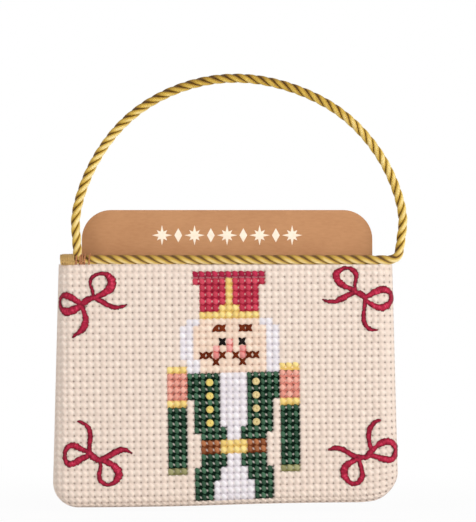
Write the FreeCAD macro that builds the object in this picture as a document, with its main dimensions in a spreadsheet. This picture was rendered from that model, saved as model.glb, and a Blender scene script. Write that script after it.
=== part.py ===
"""A needlepoint gift card holder: a small stitched pouch on a twisted cord handle, with a card in it.

The front is canvas, covered all over in stitches, whose edges turn back to a flat velvet back. The cord is
sewn along the front's top edge and arches over as the handle. +Z is up and the front faces -Y. The origin
is where the pouch hangs: under the arch of the handle, in the handle's own plane.
"""
import FreeCAD, Part
import math
import os

import Sketcher
from FreeCAD import Rotation, Vector

doc = FreeCAD.newDocument("gift_card_holder")

# Driving sizes, in millimetres and degrees
SIZES = [
    ("card_room", 4.05),
    ("side_flare", 1.8),
    ("pouch_height", 70.92),
    ("bottom_rise", 1.6),
    ("corner_radius", 6.0),
    ("edge_round", 4.6),
    ("pocket_gap", 5.6),
    ("lining_thickness", 0.4),
    ("canvas_thickness", 0.8),
    ("stitch_thickness", 0.8),
    ("stitch_width", 1.95),
    ("stitch_gap", 0.02),
    ("figure_shift", 0.7),
    ("cord_diameter", 2.7),
    ("bend_radius", 2.7),
    ("seat_gap", 0.2),
    ("binding_thickness", 0.3),
    ("binding_gap", 0.05),
    ("thread_diameter", 0.4),
    ("thread_lift", 0.02),
    ("tack_angle", 200),
    ("tack_spacing", 1.2),
    ("seam_stitch_length", 2.2),
    ("seam_stitch_spacing", 3.9),
    ("bow_thickness", 0.6),
    ("bow_ribbon", 1.3),
    ("bow_knot_length", 4.6),
    ("bow_knot_width", 1.7),
    ("bow_loop_reach", 7.2),
    ("bow_loop_rise", 0.6),
    ("bow_loop_radius", 3.0),
    ("bow_tail_bend", 8.4),
    ("bow_tail_start", 0.8),
    ("bow_tail_drop", 8.6),
    ("bow_side_inset", 8.5),
    ("bow_top_inset", 9.6),
    ("bow_low_side_inset", 10.3),
    ("bow_bottom_inset", 14.4),
    ("card_width", 85.6),
    ("card_height", 54.0),
    ("card_thickness", 0.7),
    ("card_corner", 8.2),
    ("card_exposed", 16.2),
    ("card_shift", 0.5),
    ("card_gap", 0.3),
]
sheet = doc.addObject("Spreadsheet::Sheet", "sheet")
for row, (alias, size) in enumerate(SIZES, 1):
    sheet.set(f"A{row}", str(size))
    sheet.setAlias(f"A{row}", alias)
doc.recompute()

# The handle's route in its own plane, X and Z, from the left end over the arch to the right end
HANDLE_ROUTE = [
    (-44.5, -48.0),
    (-44.5, -39.5),
    (-39.0, -23.0),
    (-28.5, -9.5),
    (-13.5, -0.5),
    (3.5, 2.0),
    (20.5, -1.5),
    (35.5, -9.5),
    (46.5, -23.0),
    (52.5, -39.5),
    (51.0, -48.0),
]
ARC_SHARE = 0.45
LEFT_END_X, CORD_END_Z = HANDLE_ROUTE[0]
RIGHT_END_X = HANDLE_ROUTE[-1][0]

# Layers of the front wall, from the stitches inwards, the widths that give the card its room in the pocket,
# and where the pouch hangs below the handle's ends
TO_CANVAS = "sheet.stitch_thickness"
TO_LINING = "(sheet.stitch_thickness + sheet.canvas_thickness)"
WALL = "(sheet.stitch_thickness + sheet.canvas_thickness + sheet.lining_thickness)"
DEPTH = f"(sheet.pocket_gap / 2 + {WALL})"
TOP_WIDTH = f"(sheet.card_width + 2 * sheet.card_room + 2 * {WALL})"
BOTTOM_WIDTH = f"({TOP_WIDTH} + 2 * sheet.side_flare)"
SEAM_Y = f"(sheet.pocket_gap + {WALL}) / 2"
CORD_RISE = "(sheet.cord_diameter + sheet.bend_radius + sheet.seat_gap)"
BASE_Z = f"{CORD_END_Z} - {CORD_RISE} - sheet.pouch_height"
SIDE_SECANT = "sqrt(1 + (sheet.side_flare / sheet.pouch_height) ^ 2)"
BOTTOM_SECANT = f"sqrt(1 + (sheet.bottom_rise / {BOTTOM_WIDTH}) ^ 2)"

TOLERANCE = 1e-6
nodes = []


def value(expression):
    """The number that an expression on the sheet's sizes gives now."""
    return float(sheet.evalExpression(expression))


def bind(feature, **expressions):
    """Tie a feature's properties to the sheet. A double underscore in a name stands for a dot."""
    for name, expression in expressions.items():
        feature.setExpression(name.replace("__", "."), expression)


def add(kind, name, **expressions):
    """A new document object with its sizes tied to the sheet."""
    feature = doc.addObject(kind, name)
    bind(feature, **expressions)
    return feature


def boolean(kind, name, base, tool):
    """A cut or common of two objects."""
    feature = doc.addObject(kind, name)
    feature.Base = base
    feature.Tool = tool
    return feature


def joined(name, shapes):
    """Several objects as one, or the object itself where there is only one."""
    if len(shapes) == 1:
        return shapes[0]
    feature = doc.addObject("Part::MultiFuse", name)
    feature.Shapes = shapes
    return feature


def node(feature, label):
    """Name a sub-part of the pouch and set it where the pouch hangs."""
    feature.Label = label
    bind(feature, Placement__Base__y=SEAM_Y, Placement__Base__z=BASE_Z)
    nodes.append(feature)
    return feature


def upright_sketch(body, name):
    """A sketch on the body's own XZ plane, seen from the front, X to the right and Z up."""
    sketch = body.newObject("Sketcher::SketchObject", name)
    plane = next(part for part in body.Origin.OriginFeatures if part.Role == "XZ_Plane")
    sketch.AttachmentSupport = [(plane, "")]
    sketch.MapMode = "FlatFace"
    return sketch


def dimension(sketch, name, kind, where, expression):
    """A named sketch dimension that the sheet drives."""
    index = sketch.addConstraint(Sketcher.Constraint(kind, *where, value(expression)))
    sketch.renameConstraint(index, name)
    sketch.setExpression(f"Constraints.{name}", expression)


def relate(sketch, relations):
    """Geometric relations of a sketch, each given as its kind and what it joins."""
    for relation in relations:
        sketch.addConstraint(Sketcher.Constraint(*relation))


def arc(centre_x, centre_y, radius, start, end):
    """A sketch arc from a start to an end angle, in degrees."""
    circle = Part.Circle(Vector(centre_x, centre_y, 0), Vector(0, 0, 1), radius)
    return Part.ArcOfCircle(circle, math.radians(start), math.radians(end))


def line(start_x, start_y, end_x, end_y):
    """A sketch line between two points."""
    return Part.LineSegment(Vector(start_x, start_y, 0), Vector(end_x, end_y, 0))


def pouch_form(name, inset):
    """The front half of the pouch as a block: its outline drawn in by the inset, its front edge rounded."""
    body = doc.addObject("PartDesign::Body", name)
    sketch = upright_sketch(body, f"{name}_outline")
    half_top = f"{TOP_WIDTH} / 2 - ({inset}) * {SIDE_SECANT}"
    half_middle = f"({TOP_WIDTH} + sheet.side_flare) / 2 - ({inset}) * {SIDE_SECANT}"
    half_bottom = f"{BOTTOM_WIDTH} / 2"
    left_drop = f"sheet.pouch_height - ({inset}) * {BOTTOM_SECANT}"
    right_drop = f"sheet.pouch_height - sheet.bottom_rise - ({inset}) * {BOTTOM_SECANT}"
    corner = f"sheet.corner_radius - ({inset})"

    top = value("sheet.pouch_height")
    low_left = top - value(left_drop)
    low_right = top - value(right_drop)
    wide_top = value(half_top)
    wide_low = 2 * value(half_middle) - wide_top
    bend = value(corner)
    side = value(half_bottom)
    sketch.addGeometry([
        line(-wide_top, top, wide_top, top),
        line(wide_top, top, wide_low, low_right + bend),
        arc(wide_low - bend, low_right + bend, bend, -90, 0),
        line(wide_low - bend, low_right, bend - wide_low, low_left),
        arc(bend - wide_low, low_left + bend, bend, 180, 270),
        line(-wide_low, low_left + bend, -wide_top, top),
    ], False)
    middle = value(half_middle)
    sketch.addGeometry([
        Part.Point(Vector(-middle, top / 2, 0)),
        Part.Point(Vector(middle, top / 2, 0)),
        Part.Point(Vector(-side, low_left, 0)),
        Part.Point(Vector(side, low_right, 0)),
    ], True)
    relate(sketch, [
        ("Coincident", 0, 2, 1, 1),
        ("Tangent", 1, 2, 2, 2),
        ("Tangent", 3, 1, 2, 1),
        ("Tangent", 3, 2, 4, 2),
        ("Tangent", 5, 1, 4, 1),
        ("Coincident", 5, 2, 0, 1),
        ("Horizontal", 0),
        ("PointOnObject", 6, 1, 5),
        ("PointOnObject", 7, 1, 1),
        ("PointOnObject", 8, 1, 3),
        ("PointOnObject", 9, 1, 3),
    ])
    dimension(sketch, "mouth", "DistanceY", (-1, 1, 0, 1), "sheet.pouch_height")
    dimension(sketch, "top_left", "DistanceX", (0, 1, -1, 1), half_top)
    dimension(sketch, "top_right", "DistanceX", (-1, 1, 0, 2), half_top)
    dimension(sketch, "middle_left", "DistanceX", (6, 1, -1, 1), half_middle)
    dimension(sketch, "middle_right", "DistanceX", (-1, 1, 7, 1), half_middle)
    dimension(sketch, "half_height_left", "DistanceY", (-1, 1, 6, 1), "sheet.pouch_height / 2")
    dimension(sketch, "half_height_right", "DistanceY", (-1, 1, 7, 1), "sheet.pouch_height / 2")
    dimension(sketch, "far_left", "DistanceX", (8, 1, -1, 1), half_bottom)
    dimension(sketch, "far_right", "DistanceX", (-1, 1, 9, 1), half_bottom)
    dimension(sketch, "drop_left", "DistanceY", (8, 1, 0, 1), left_drop)
    dimension(sketch, "drop_right", "DistanceY", (9, 1, 0, 2), right_drop)
    dimension(sketch, "corner_left", "Radius", (4,), corner)
    dimension(sketch, "corner_right", "Radius", (2,), corner)

    depth = f"{DEPTH} - ({inset})"
    block = body.newObject("PartDesign::Pad", f"{name}_block")
    block.Profile = sketch
    bind(block, Length=depth)
    doc.recompute()

    front = -value(depth)
    edges = []
    for number, edge in enumerate(block.Shape.Edges, 1):
        box = edge.BoundBox
        in_front = abs(box.YMin - front) < TOLERANCE and abs(box.YMax - front) < TOLERANCE
        if in_front and box.ZMin < top - TOLERANCE:
            edges.append(f"Edge{number}")
    rounded = body.newObject("PartDesign::Fillet", f"{name}_rounded")
    rounded.Base = (block, edges)
    bind(rounded, Radius=f"sheet.edge_round - ({inset})")
    return body


def mirrored(name, form):
    """The back half that matches a front half, across the seam's plane."""
    feature = doc.addObject("Part::Mirroring", name)
    feature.Source = form
    feature.Normal = Vector(0, 1, 0)
    return feature


# The pouch: a stitched canvas front that turns back at the edges, a velvet back, and a lining in each
stitch_form = pouch_form("stitch_form", "0")
canvas_form = pouch_form("canvas_form", TO_CANVAS)
lining_form = pouch_form("lining_form", TO_LINING)
pocket_form = pouch_form("pocket_form", WALL)
node(boolean("Part::Cut", "canvas_shell", canvas_form, lining_form), "front_canvas")
node(boolean("Part::Cut", "lining_shell", lining_form, pocket_form), "front_lining")
back_form = mirrored("back_form", stitch_form)
back_lining_form = mirrored("back_lining_form", lining_form)
back_pocket_form = mirrored("back_pocket_form", pocket_form)
node(boolean("Part::Cut", "back_shell", back_form, back_lining_form), "back_panel")
node(boolean("Part::Cut", "back_lining_shell", back_lining_form, back_pocket_form), "back_lining")

# The toy soldier's chart: each thread's blocks as first and last column, then first and last row.
# Columns count from the hat's middle and rows from the mouth. A later thread lies over an earlier one.
ROWS = 36
STITCH_ROW = f"sheet.pouch_height / {ROWS}"
CHART = [
    ("face_stitches", [(-4, 4, 8, 8), (-5, 5, 9, 13), (-4, 5, 14, 15)]),
    ("white_stitches", [
        (-6, -5, 8, 8), (-7, -6, 9, 13), (-6, -5, 14, 15),
        (5, 6, 8, 8), (6, 7, 9, 13), (6, 7, 14, 15),
        (-1, 2, 16, 23), (0, 1, 24, 25),
        (0, 1, 28, 29), (-1, 2, 30, 31), (-2, 3, 32, 34),
    ]),
    ("red_stitches", [(-5, 5, 2, 2), (-4, 4, 3, 6)]),
    ("dark_red_stitches", [(-5, 5, 1, 1)]),
    ("green_stitches", [
        (-6, -2, 16, 19), (-5, -2, 20, 23), (-5, -1, 24, 24), (-4, -1, 25, 25),
        (3, 7, 16, 19), (3, 6, 20, 23), (2, 6, 24, 24), (2, 5, 25, 25),
        (-9, -7, 21, 29), (8, 10, 21, 29),
        (-4, -1, 28, 29), (-5, -2, 30, 31), (-5, -3, 32, 34),
        (2, 5, 28, 29), (3, 6, 30, 31), (4, 6, 32, 34),
    ]),
    ("salmon_stitches", [(-9, -7, 16, 19), (8, 10, 15, 19)]),
    ("gold_stitches", [
        (0, 0, 2, 5), (-1, 1, 6, 6), (-4, 4, 7, 7),
        (-9, -7, 15, 15), (8, 10, 14, 14), (-9, -7, 20, 20), (8, 10, 20, 20),
        (-3, -3, 17, 17), (-3, -3, 19, 19), (-3, -3, 21, 21), (-3, -3, 23, 23),
        (4, 4, 17, 17), (4, 4, 19, 19), (4, 4, 21, 21), (4, 4, 23, 23),
        (-1, 2, 26, 27),
    ]),
    ("olive_stitches", [(-9, -7, 30, 30), (8, 10, 30, 30)]),
    ("rust_stitches", [(-4, -2, 26, 27), (3, 5, 26, 27)]),
    ("brown_stitches", [
        (-2, -1, 9, 9), (2, 3, 9, 9), (-4, -1, 13, 13), (1, 4, 13, 13), (-2, -2, 14, 14), (2, 2, 14, 14),
    ]),
    ("pink_stitches", [(0, 0, 11, 12), (-2, -2, 12, 13), (2, 2, 12, 13)]),
    ("black_stitches", [(-1, -1, 11, 11), (2, 2, 11, 11)]),
]


def stitch_blocks(name, blocks, margin):
    """Blocks that take their stitches out of the stitch layer, wide of the layer to the front and back."""
    boxes = [
        add(
            "Part::Box", f"{name}_{number}",
            Length=f"{last_column - first_column + 1} * sheet.stitch_width + 2 * {margin}",
            Width=f"{WALL} + sheet.stitch_thickness",
            Height=f"{last_row - first_row + 1} * {STITCH_ROW} + 2 * {margin}",
            Placement__Base__x=f"sheet.figure_shift + {first_column - 0.5} * sheet.stitch_width - {margin}",
            Placement__Base__y=f"-{DEPTH} - sheet.stitch_thickness",
            Placement__Base__z=f"sheet.pouch_height - {last_row + 1} * {STITCH_ROW} - {margin}",
        )
        for number, (first_column, last_column, first_row, last_row) in enumerate(blocks, 1)
    ]
    return joined(name, boxes)


stitch_layer = boolean("Part::Cut", "stitch_layer", stitch_form, canvas_form)
room = [stitch_blocks(f"{label}_room", blocks, "sheet.stitch_gap") for label, blocks in CHART]
for number, (label, blocks) in enumerate(CHART, 1):
    pad = stitch_blocks(f"{label}_pad", blocks, "0")
    stitches = boolean("Part::Common", f"{label}_layer", stitch_layer, pad)
    if room[number:]:
        stitches = boolean("Part::Cut", f"{label}_shown", stitches, joined(f"over_{label}", room[number:]))
    node(stitches, label)
figure_room = joined("figure_room", room)
node(boolean("Part::Cut", "ground_stitches", stitch_layer, figure_room), "cream_stitches")


def bow_form(name):
    """An embroidered bow seen from the front: a knot, two loops and two tails, alike on both sides."""
    body = doc.addObject("PartDesign::Body", name)
    length = f"{DEPTH} + sheet.bow_thickness"
    half_knot = "sheet.bow_knot_length / 2"

    knot = upright_sketch(body, f"{name}_knot_outline")
    half = value(half_knot)
    cap = value("sheet.bow_knot_width / 2")
    knot.addGeometry([
        line(-half, cap, half, cap),
        arc(half, 0, cap, -90, 90),
        line(half, -cap, -half, -cap),
        arc(-half, 0, cap, 90, 270),
    ], False)
    relate(knot, [
        ("Tangent", 0, 2, 1, 2),
        ("Tangent", 2, 1, 1, 1),
        ("Tangent", 2, 2, 3, 2),
        ("Tangent", 0, 1, 3, 1),
        ("PointOnObject", 1, 3, -1),
        ("PointOnObject", 3, 3, -1),
    ])
    dimension(knot, "right_end", "DistanceX", (-1, 1, 1, 3), half_knot)
    dimension(knot, "left_end", "DistanceX", (3, 3, -1, 1), half_knot)
    dimension(knot, "knot_round", "Radius", (1,), "sheet.bow_knot_width / 2")

    loop = upright_sketch(body, f"{name}_loop_outline")
    rise = value("sheet.bow_loop_rise")
    reach = value("sheet.bow_loop_reach")
    teardrops = [
        ("outer", half_knot, "sheet.bow_loop_radius", "sheet.bow_loop_reach"),
        ("inner", f"{half_knot} + sheet.bow_ribbon", "sheet.bow_loop_radius - sheet.bow_ribbon",
         "sheet.bow_loop_reach - sheet.bow_ribbon / 4"),
    ]
    for number, (which, tip, radius, centre) in enumerate(teardrops):
        first = 3 * number
        tip_x, round_size, centre_x = value(tip), value(radius), value(centre)
        loop.addGeometry([
            line(tip_x, 0, centre_x, rise + round_size),
            arc(centre_x, rise, round_size, -90, 90),
            line(centre_x, rise - round_size, tip_x, 0),
        ], False)
        relate(loop, [
            ("Tangent", first, 2, first + 1, 2),
            ("Tangent", first + 2, 1, first + 1, 1),
            ("Coincident", first, 1, first + 2, 2),
            ("PointOnObject", first, 1, -1),
        ])
        dimension(loop, f"{which}_tip", "DistanceX", (-1, 1, first, 1), tip)
        dimension(loop, f"{which}_reach", "DistanceX", (-1, 1, first + 1, 3), centre)
        dimension(loop, f"{which}_rise", "DistanceY", (-1, 1, first + 1, 3), "sheet.bow_loop_rise")
        dimension(loop, f"{which}_round", "Radius", (first + 1,), radius)

    tail = upright_sketch(body, f"{name}_tail_outline")
    bend = value("sheet.bow_tail_bend")
    start = value("sheet.bow_tail_start")
    drop = value("sheet.bow_tail_drop")
    width = value("sheet.bow_ribbon")
    centre_x = half + bend
    sweep = math.degrees(math.asin((drop - start) / bend))
    end_x = centre_x - bend * math.cos(math.radians(sweep))
    tail.addGeometry([
        arc(centre_x, -start, bend + width / 2, 180, 180 + sweep),
        arc(centre_x, -start, bend - width / 2, 180, 180 + sweep),
        arc(half, -start, width / 2, 0, 180),
        arc(end_x, -drop, width / 2, 180 + sweep, 360 + sweep),
    ], False)
    relate(tail, [
        ("Tangent", 0, 1, 2, 2),
        ("Tangent", 1, 1, 2, 1),
        ("Tangent", 0, 2, 3, 1),
        ("Tangent", 1, 2, 3, 2),
        ("Coincident", 0, 3, 1, 3),
    ])
    dimension(tail, "centre", "DistanceX", (-1, 1, 0, 3), f"{half_knot} + sheet.bow_tail_bend")
    dimension(tail, "centre_drop", "DistanceY", (0, 3, -1, 1), "sheet.bow_tail_start")
    dimension(tail, "outer_bend", "Radius", (0,), "sheet.bow_tail_bend + sheet.bow_ribbon / 2")
    dimension(tail, "inner_bend", "Radius", (1,), "sheet.bow_tail_bend - sheet.bow_ribbon / 2")
    dimension(tail, "start_drop", "DistanceY", (2, 3, -1, 1), "sheet.bow_tail_start")
    dimension(tail, "end_drop", "DistanceY", (3, 3, -1, 1), "sheet.bow_tail_drop")

    pads = []
    for sketch in (knot, loop, tail):
        pad = body.newObject("PartDesign::Pad", f"{sketch.Name}_pad")
        pad.Profile = sketch
        bind(pad, Length=length)
        pads.append(pad)
    both_sides = body.newObject("PartDesign::Mirrored", f"{name}_both_sides")
    both_sides.Originals = pads[1:]
    plane = next(part for part in body.Origin.OriginFeatures if part.Role == "YZ_Plane")
    both_sides.MirrorPlane = (plane, [""])
    body.Tip = both_sides
    return body


# The four bows, each with its top to its own corner, stitched over the ground and round the pouch's edge
HIGH_SIDE = f"({TOP_WIDTH} / 2 - sheet.bow_side_inset)"
LOW_SIDE = f"({BOTTOM_WIDTH} / 2 - sheet.bow_low_side_inset)"
BOW_HIGH = "sheet.pouch_height - sheet.bow_top_inset"
BOW_LOW = "sheet.bow_bottom_inset"
BOWS = [
    ("bow_top_left", f"-{HIGH_SIDE}", BOW_HIGH, 45),
    ("bow_top_right", HIGH_SIDE, BOW_HIGH, -45),
    ("bow_bottom_left", f"-{LOW_SIDE}", BOW_LOW, 135),
    ("bow_bottom_right", LOW_SIDE, BOW_LOW, -135),
]
raised_form = pouch_form("raised_form", "-sheet.bow_thickness")
raised_layer = boolean("Part::Cut", "raised_layer", raised_form, stitch_form)
for label, bow_x, bow_z, turn in BOWS:
    bow = bow_form(f"{label}_form")
    bow.Placement.Rotation = Rotation(Vector(0, -1, 0), turn)
    bind(bow, Placement__Base__x=bow_x, Placement__Base__z=bow_z)
    node(boolean("Part::Common", f"{label}_stitches", raised_layer, bow), label)

# The edge cord lies on the front wall's top. Its left end is bound, with the handle's left end sewn on
# beside it, and its right end turns up into the handle.
EDGE_Y = f"-({SEAM_Y})"
EDGE_Z = "sheet.pouch_height + sheet.cord_diameter / 2"
CORD_RADIUS = "sheet.cord_diameter / 2"
BORE_RADIUS = "(sheet.cord_diameter / 2 - sheet.binding_thickness)"
CORE_RADIUS = f"{BORE_RADIUS} - sheet.binding_gap"
CORD_START = f"-{TOP_WIDTH} / 2"
CORD_FULL = f"({LEFT_END_X} - {CORD_RADIUS} - sheet.binding_gap)"
BINDING_LENGTH = f"{CORD_FULL} - ({CORD_START})"
TURN_X = f"{RIGHT_END_X} - sheet.bend_radius"
ALONG_X = Rotation(Vector(0, 1, 0), 90)


def cord_cylinder(name, radius, start, length):
    """A length of round cord along the pouch's top edge."""
    cylinder = add("Part::Cylinder", name, Radius=radius, Height=length)
    cylinder.Placement.Rotation = ALONG_X
    bind(cylinder, Placement__Base__x=start, Placement__Base__y=EDGE_Y, Placement__Base__z=EDGE_Z)
    return cylinder


straight = cord_cylinder("edge_straight", CORD_RADIUS, CORD_FULL, f"{TURN_X} - {CORD_FULL}")
core = cord_cylinder("bound_core", CORE_RADIUS, CORD_START, BINDING_LENGTH)
corner = add(
    "Part::Torus", "edge_corner",
    Radius1="sheet.bend_radius",
    Radius2=CORD_RADIUS,
    Placement__Base__x=TURN_X,
    Placement__Base__y=EDGE_Y,
    Placement__Base__z=f"{EDGE_Z} + sheet.bend_radius",
)
corner.Angle3 = 90
corner.Placement.Rotation = Rotation(Vector(1, 0, 0), 90).multiply(Rotation(Vector(0, 0, 1), -90))
left_end = add(
    "Part::Cylinder", "handle_left_end",
    Radius=CORD_RADIUS,
    Height="sheet.bend_radius",
    Placement__Base__x=str(LEFT_END_X),
    Placement__Base__y=EDGE_Y,
    Placement__Base__z=EDGE_Z,
)
node(joined("edge_cord_run", [straight, core, corner, left_end]), "edge_cord")

# The thread bound round the edge cord's left end, and the tacks that sew the handle's end beside it
sleeve = cord_cylinder("binding_sleeve", CORD_RADIUS, CORD_START, BINDING_LENGTH)
bore = cord_cylinder("binding_bore", BORE_RADIUS, CORD_START, BINDING_LENGTH)
node(boolean("Part::Cut", "binding_ring", sleeve, bore), "cord_end_binding")
TACKS = 4
tacks = []
for number in range(TACKS):
    tack = add(
        "Part::Torus", f"tack_{number + 1}",
        Radius1="sheet.cord_diameter / 2 + sheet.thread_diameter / 2 + sheet.thread_lift",
        Radius2="sheet.thread_diameter / 2",
        Angle3="sheet.tack_angle",
        Placement__Base__x=f"{LEFT_END_X} + {CORD_RADIUS} + {number + 0.5} * sheet.tack_spacing",
        Placement__Base__y=EDGE_Y,
        Placement__Base__z=EDGE_Z,
    )
    start = Rotation(Vector(0, 0, 1), 90 - value("sheet.tack_angle") / 2)
    tack.Placement.Rotation = Rotation(Vector(1, 1, 1), 120).multiply(start)
    tacks.append(tack)
tack_group = doc.addObject("Part::Compound", "tack_group")
tack_group.Links = tacks
node(tack_group, "cord_tack_thread")


def seam_stitch(name, x, z):
    """A short stitch across the seam between the front and the back, lying on the pouch's outside."""
    stitch = add(
        "Part::Cylinder", name,
        Radius="sheet.thread_diameter / 2",
        Height="sheet.seam_stitch_length",
    )
    stitch.Placement.Rotation = Rotation(Vector(1, 0, 0), -90)
    stitch.Placement.Base = Vector(x, -value("sheet.seam_stitch_length / 2"), z)
    return stitch


# The seam's stitches, up both sides and along the bottom between the rounded corners
height = value("sheet.pouch_height")
flare = value("sheet.side_flare")
half_base = value(f"{BOTTOM_WIDTH} / 2")
spacing = value("sheet.seam_stitch_spacing")
proud = value("sheet.thread_diameter / 2 + sheet.thread_lift")
bottom_slope = value(f"sheet.bottom_rise / {BOTTOM_WIDTH}")
clear = value("sheet.corner_radius + sheet.bottom_rise")
seam_stitches = []
rows = int((height - clear - spacing / 2) / spacing) + 1
for number in range(rows):
    z = clear + number * spacing
    x = half_base - flare * z / height + proud * value(SIDE_SECANT)
    seam_stitches.append(seam_stitch(f"left_seam_{number + 1}", -x, z))
    seam_stitches.append(seam_stitch(f"right_seam_{number + 1}", x, z))
columns = int((half_base - clear) / spacing)
for number in range(-columns, columns + 1):
    x = number * spacing
    z = bottom_slope * (x + half_base) - proud * value(BOTTOM_SECANT)
    seam_stitches.append(seam_stitch(f"bottom_seam_{number + columns + 1}", x, z))
seam_group = doc.addObject("Part::Compound", "seam_group")
seam_group.Links = seam_stitches
node(seam_group, "side_seam_thread")

# The card, which slides in the pocket and lies against the back lining
card = doc.addObject("PartDesign::Body", "card_body")
card_outline = upright_sketch(card, "card_outline")
half_card = value("sheet.card_width / 2")
card_height = value("sheet.card_height")
card_outline.addGeometry([
    line(-half_card, 0, half_card, 0),
    line(half_card, 0, half_card, card_height),
    line(half_card, card_height, -half_card, card_height),
    line(-half_card, card_height, -half_card, 0),
], False)
relate(card_outline, [
    ("Coincident", 0, 2, 1, 1),
    ("Coincident", 1, 2, 2, 1),
    ("Coincident", 2, 2, 3, 1),
    ("Coincident", 3, 2, 0, 1),
    ("Vertical", 1),
    ("Horizontal", 2),
    ("Vertical", 3),
    ("PointOnObject", 0, 1, -1),
    ("PointOnObject", 0, 2, -1),
])
dimension(card_outline, "left_half", "DistanceX", (0, 1, -1, 1), "sheet.card_width / 2")
dimension(card_outline, "right_half", "DistanceX", (-1, 1, 0, 2), "sheet.card_width / 2")
dimension(card_outline, "card_side", "DistanceY", (1, 1, 1, 2), "sheet.card_height")
card_blank = card.newObject("PartDesign::Pad", "card_blank")
card_blank.Profile = card_outline
bind(card_blank, Length="sheet.card_thickness")
doc.recompute()
card_corners = [
    f"Edge{number}"
    for number, edge in enumerate(card_blank.Shape.Edges, 1)
    if abs(edge.BoundBox.YLength - value("sheet.card_thickness")) < TOLERANCE
]
card_rounded = card.newObject("PartDesign::Fillet", "card_rounded")
card_rounded.Base = (card_blank, card_corners)
bind(card_rounded, Radius="sheet.card_corner")
card.Label = "gift_card"
bind(
    card,
    Placement__Base__x="sheet.card_shift",
    Placement__Base__y=f"{SEAM_Y} + sheet.pocket_gap / 2 - sheet.card_gap",
    Placement__Base__z=f"{BASE_Z} + sheet.pouch_height + sheet.card_exposed - sheet.card_height",
)
nodes.append(card)


def cord_path(points):
    """Straight runs through the points, with each corner as large an arc as its two runs allow."""
    edges = []
    radii = []
    start = points[0]
    for before, corner_point, after in zip(points, points[1:], points[2:]):
        towards = (before - corner_point).normalize()
        away = (after - corner_point).normalize()
        tangent = ARC_SHARE * min(before.distanceToPoint(corner_point), after.distanceToPoint(corner_point))
        half_turn = (math.pi - towards.getAngle(away)) / 2
        radius = tangent / math.tan(half_turn)
        radii.append(radius)
        arc_start = corner_point + towards * tangent
        arc_end = corner_point + away * tangent
        inward = (towards + away).normalize()
        arc_middle = corner_point + inward * (radius / math.cos(half_turn) - radius)
        edges.append(Part.LineSegment(start, arc_start).toShape())
        edges.append(Part.Arc(arc_start, arc_middle, arc_end).toShape())
        start = arc_end
    edges.append(Part.LineSegment(start, points[-1]).toShape())
    print("handle_cord radii", [round(radius, 1) for radius in radii])
    return Part.Wire(edges)


# The handle: one length of cord, its two ends rounded where they turn on the edge cord
cord_radius = value(CORD_RADIUS)
route = [Vector(x, 0, z) for x, z in HANDLE_ROUTE]
path = cord_path(route)
ring = Part.Wire([Part.Circle(route[0], route[1] - route[0], cord_radius).toShape()])
tube = path.makePipeShell([ring], True, False)
section = math.pi * cord_radius ** 2
print("handle_cord length", round(path.Length, 2))
print("handle_cord tube to section by length", round(tube.Volume / section / path.Length, 4))
ends = [Part.makeSphere(cord_radius, point) for point in (route[0], route[-1])]
handle = doc.addObject("Part::Feature", "handle_cord")
handle.Shape = tube.fuse(ends).removeSplitter()
handle.Label = "handle_cord"
nodes.append(handle)

# Every object has to be sound before anything is written
doc.recompute()
for feature in doc.Objects:
    if {"Invalid", "Error"} & set(feature.State):
        raise SystemExit(f"{feature.Name} failed: {feature.State}")
for part in nodes:
    if part.Shape.isNull() or not part.Shape.isValid() or not part.Shape.Solids:
        raise SystemExit(f"{part.Label} has no valid solid")
os.makedirs("parts", exist_ok=True)
for part in nodes:
    part.Shape.exportStep(f"parts/{part.Label}.step")
    box = part.Shape.BoundBox
    corners = [round(number, 2) for number in (box.XMin, box.YMin, box.ZMin, box.XMax, box.YMax, box.ZMax)]
    print(part.Label, len(part.Shape.Solids), round(part.Shape.Volume, 2), corners)
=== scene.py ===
import math
import random

import bpy
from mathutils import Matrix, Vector, noise


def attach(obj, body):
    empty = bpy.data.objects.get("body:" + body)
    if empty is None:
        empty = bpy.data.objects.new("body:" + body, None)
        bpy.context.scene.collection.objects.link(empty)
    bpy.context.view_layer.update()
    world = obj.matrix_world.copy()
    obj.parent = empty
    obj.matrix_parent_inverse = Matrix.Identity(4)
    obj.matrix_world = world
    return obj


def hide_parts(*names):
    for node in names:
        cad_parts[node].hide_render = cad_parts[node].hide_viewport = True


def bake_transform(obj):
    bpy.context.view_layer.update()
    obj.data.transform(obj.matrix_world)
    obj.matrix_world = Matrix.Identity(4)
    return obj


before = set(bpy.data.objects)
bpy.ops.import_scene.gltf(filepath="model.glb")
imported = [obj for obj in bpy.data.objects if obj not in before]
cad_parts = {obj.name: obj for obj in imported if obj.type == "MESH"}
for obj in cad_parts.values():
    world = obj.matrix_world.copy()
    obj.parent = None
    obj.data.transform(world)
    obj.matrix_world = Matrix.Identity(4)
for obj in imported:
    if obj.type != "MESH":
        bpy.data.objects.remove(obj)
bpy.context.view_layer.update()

bpy.ops.object.select_all(action="DESELECT")

# The front canvas: an open cotton mesh for needlework, cut with a margin that turns back over the sides and
# the bottom to the seam. Stitches cover it, so only specks of it show at their corners.
MM = 0.001
MOUTH_Z = -53.6
POUCH_HEIGHT = 70.92
CENTRE_X, FLAT_HALF, FLAT_DROP, FLAT_CORNER = -0.2, 42.45, 63.42, 2.9
TURN_CENTRE_Y, TURN_RADIUS, TURN_MIDDLE = 3.6, 3.8, 4.2
SEAM_REACH = FLAT_HALF + FLAT_CORNER + TURN_MIDDLE * math.pi / 2
SEAM_DROP = FLAT_DROP + FLAT_CORNER + TURN_MIDDLE * math.pi / 2
FLARE, FALL = 0.0181, 0.997
BOTTOM_RISE, RISE_SPAN = 0.8, 25.0
CORNER_RISE, CORNER_FROM, CORNER_SPAN = 1.8, 38.0, 11.0
CANVAS_THICKNESS = 0.8


def flared(down):
    """How much wider than its middle the pouch is, this far below its mouth."""
    return 1 + FLARE * (2 * down / POUCH_HEIGHT - 1)


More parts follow.
